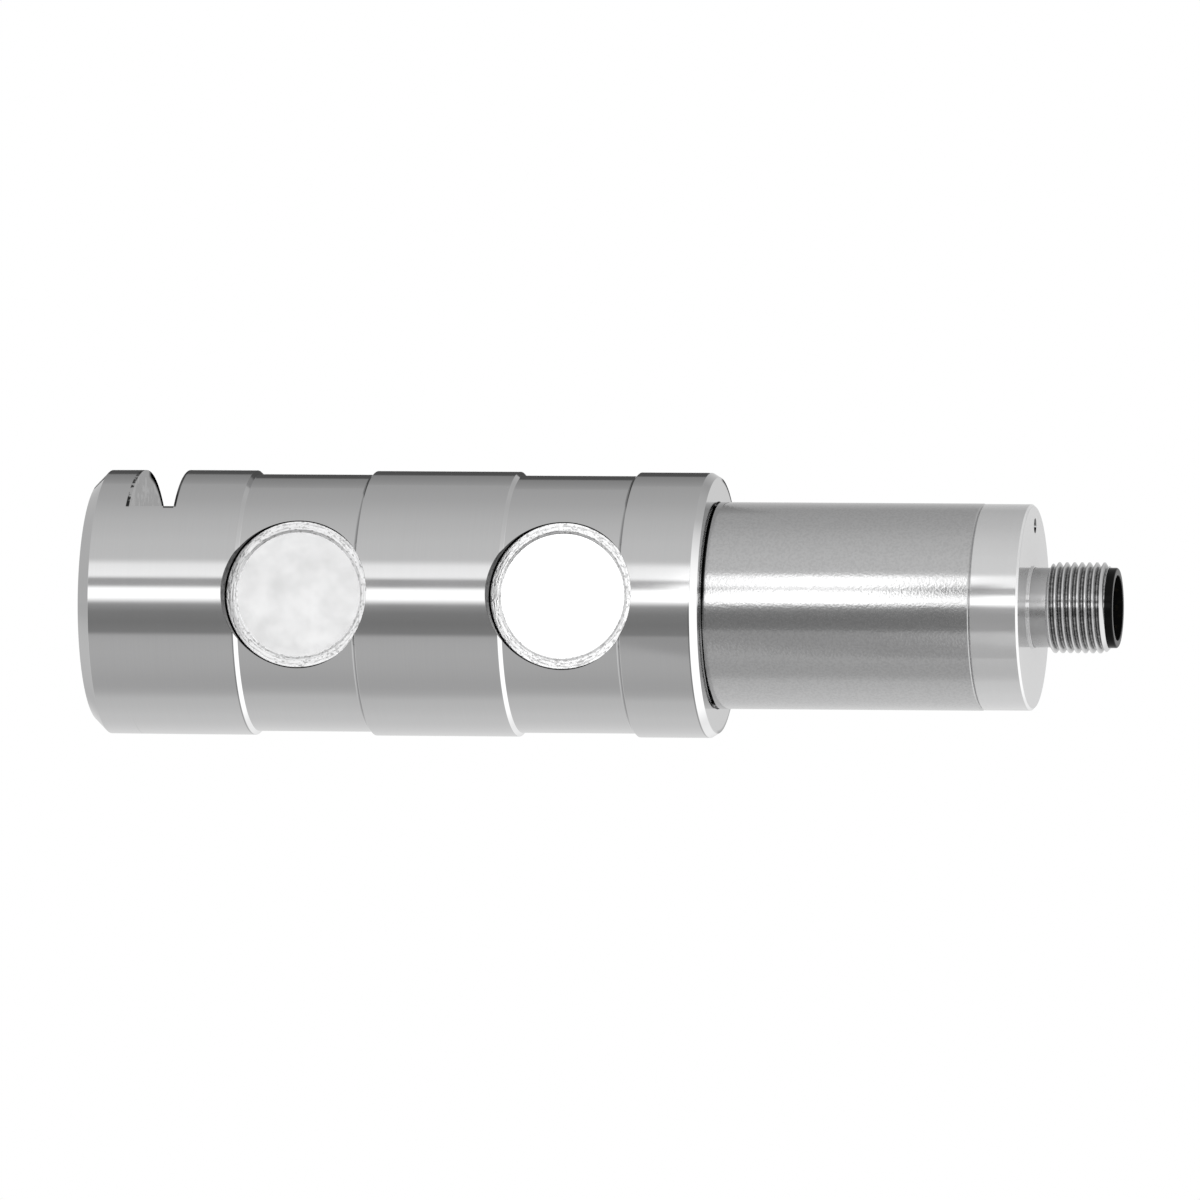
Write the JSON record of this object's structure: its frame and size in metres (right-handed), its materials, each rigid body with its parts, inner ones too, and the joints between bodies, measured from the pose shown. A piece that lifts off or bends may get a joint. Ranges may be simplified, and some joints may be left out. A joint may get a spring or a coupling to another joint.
{
  "type": "shear pin load cell",
  "caption": "Stainless load pin with two relief grooves, welded gauge pocket covers, a keeper slot, a slim amplifier housing and a round threaded connector.",
  "frame": {"origin": "on the pin's axis, at the middle of the load land between the two relief grooves", "axes": "+X along the pin towards the connector, +Z towards the keeper slot, front gauge covers face -Y"},
  "size_m": [0.1365, 0.035, 0.035],
  "materials": {
    "ground_steel": "ground and polished stainless steel",
    "turned_steel": "fine turned stainless steel",
    "cap_steel": "finely turned stainless steel, polished face",
    "cover_steel": "bright flat disc in a rippled weld bead",
    "connector_metal": "nickel plate",
    "black_insulator": "moulded black plastic",
    "gold_contact": "gold flash",
    "seal_rubber": "smooth black rubber",
    "circuit_board": "solder resist on glass laminate",
    "gauge_foil": "amber backing with metal foil",
    "lead_jacket": "thin plastic jacket",
    "black_package": "moulded package",
    "trimmer_blue": "moulded blue case",
    "capacitor_can": "drawn can"
  },
  "bodies": {
    "root": {"amplifier_board": "circuit_board", "amplifier_chip": "black_package", "board_ring_left": "black_insulator", "board_ring_right": "black_insulator", "cap_seal": "seal_rubber", "connector_insert": "black_insulator", "connector_lock_nut": "connector_metal", "connector_seal": "seal_rubber", "connector_shell": "connector_metal", "contact_pin_1": "gold_contact", "contact_pin_2": "gold_contact", "contact_pin_3": "gold_contact", "contact_pin_4": "gold_contact", "contact_pin_5": "gold_contact", "end_cap": "cap_steel", "front_cover_left": "cover_steel", "front_cover_right": "cover_steel", "front_left_gauge": "gauge_foil", "front_left_lead": "lead_jacket", "front_left_terminal": "circuit_board", "front_right_gauge": "gauge_foil", "front_right_lead": "lead_jacket", "front_right_terminal": "circuit_board", "hookup_lead_1": "lead_jacket", "hookup_lead_2": "lead_jacket", "hookup_lead_3": "lead_jacket", "hookup_lead_4": "lead_jacket", "hookup_lead_5": "lead_jacket", "housing_seal": "seal_rubber", "housing_tube": "turned_steel", "lower_solder_strip": "circuit_board", "output_capacitor": "capacitor_can", "pin_body": "ground_steel", "rear_cover_left": "cover_steel", "rear_cover_right": "cover_steel", "rear_left_gauge": "gauge_foil", "rear_left_lead": "lead_jacket", "rear_left_terminal": "circuit_board", "rear_right_gauge": "gauge_foil", "rear_right_lead": "lead_jacket", "rear_right_terminal": "circuit_board", "span_trimmer": "trimmer_blue", "supply_capacitor": "capacitor_can", "upper_solder_strip": "circuit_board", "zero_trimmer": "trimmer_blue"}
  },
  "joints": []
}
